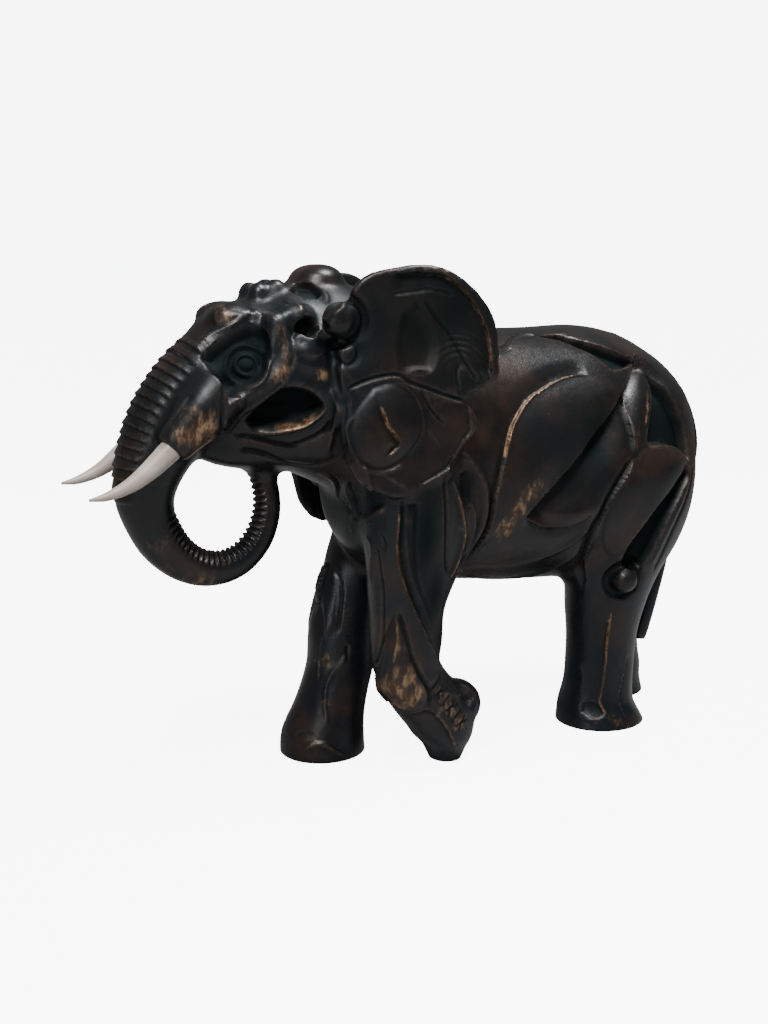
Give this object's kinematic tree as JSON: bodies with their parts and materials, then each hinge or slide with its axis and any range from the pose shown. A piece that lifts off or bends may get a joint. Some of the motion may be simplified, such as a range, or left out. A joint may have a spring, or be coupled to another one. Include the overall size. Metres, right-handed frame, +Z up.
{
  "type": "elephant statue",
  "caption": "Dark bronze statue of a walking elephant with carved plate-like panels, curled trunk, spread ears and pale tusks; stands freely on its feet.",
  "frame": {"origin": "middle of the bounding box on the ground under the feet", "axes": "+X towards the tail, with the head at -X; +Y towards the elephant's right side; +Z up"},
  "size_m": [0.4898, 0.1654, 0.3387],
  "materials": {
    "bronze": "semi-gloss dark brown patina with rubbed gold-brown edges and blue-green recesses",
    "tusk": "satin warm ivory white"
  },
  "bodies": {
    "root": {"bronze_elephant": "bronze", "left_tusk": "tusk", "right_tusk": "tusk"}
  },
  "joints": []
}
